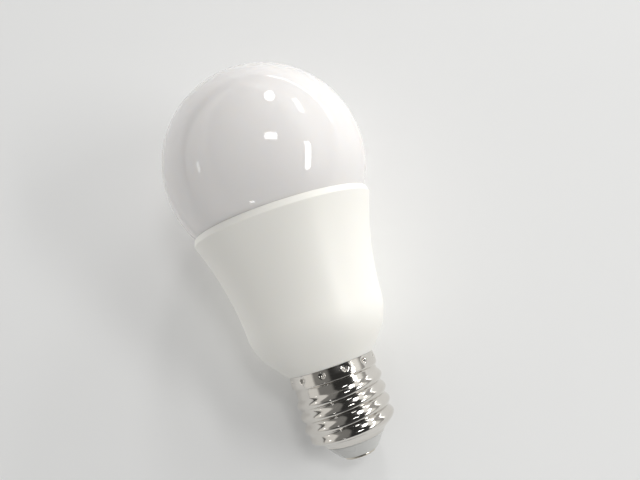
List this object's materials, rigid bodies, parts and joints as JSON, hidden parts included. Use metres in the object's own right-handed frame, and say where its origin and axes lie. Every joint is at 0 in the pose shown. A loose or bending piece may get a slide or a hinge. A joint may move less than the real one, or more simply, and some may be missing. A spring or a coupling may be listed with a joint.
{
  "type": "smart light bulb",
  "caption": "A60 LED light bulb with an opal globe, a smooth white housing, an E27 screw cap and its driver and radio boards inside.",
  "frame": {"origin": "centre of the end face of the cap's centre contact", "axes": "+Z along the bulb's axis from the cap to the top of the globe; +Y is the side of the driver board that carries the transformer"},
  "size_m": [0.06, 0.06, 0.118],
  "materials": {
    "opal_diffuser": "gloss",
    "white_housing": "satin",
    "nickel_sheet": "polished",
    "grey_insulator": "gloss",
    "contact_metal": "nickel-plated",
    "silicone": "matt",
    "cast_aluminium": "satin",
    "board_white": "white solder mask",
    "chip_white": "phosphor",
    "chip_warm": "phosphor",
    "screw_steel": "zinc-plated",
    "connector_plastic": "matt",
    "board_laminate": "green solder mask",
    "pin_metal": "tinned",
    "ferrite": "matt",
    "winding_copper": "enamelled",
    "black_plastic": "matt",
    "capacitor_sleeve": "sleeved",
    "yellow_plastic": "gloss",
    "surge_blue": "dipped",
    "resistor_green": "matt",
    "ceramic_tan": "matt",
    "tinned_sheet": "tinned",
    "live_wire": "insulated",
    "bare_wire": "tinned"
  },
  "bodies": {
    "root": {"diffuser_globe": "opal_diffuser", "rim_adhesive": "silicone", "housing": "white_housing", "cap_shell": "nickel_sheet", "cap_insulator": "grey_insulator", "centre_contact": "contact_metal", "heat_sink_cup": "cast_aluminium", "heat_spreader_plate": "cast_aluminium", "thermal_pad": "silicone", "lamp_board": "board_white", "white_light_chips": "chip_white", "warm_light_chips": "chip_warm", "board_screws": "screw_steel", "board_socket": "connector_plastic", "pin_header": "black_plastic", "driver_pins": "pin_metal", "driver_board": "board_laminate", "transformer_core": "ferrite", "transformer_bobbin": "black_plastic", "transformer_winding": "winding_copper", "input_capacitor": "capacitor_sleeve", "output_capacitor": "capacitor_sleeve", "choke_core": "ferrite", "choke_winding": "winding_copper", "film_capacitor": "yellow_plastic", "surge_disc": "surge_blue", "fusible_resistor": "resistor_green", "bridge_rectifier": "black_plastic", "switching_transistor": "black_plastic", "driver_chip": "black_plastic", "chip_resistors": "black_plastic", "chip_capacitors": "ceramic_tan", "radio_board": "board_laminate", "radio_shield": "tinned_sheet", "radio_chip": "black_plastic", "radio_antenna": "winding_copper", "live_lead": "live_wire", "neutral_lead": "bare_wire"}
  },
  "joints": []
}
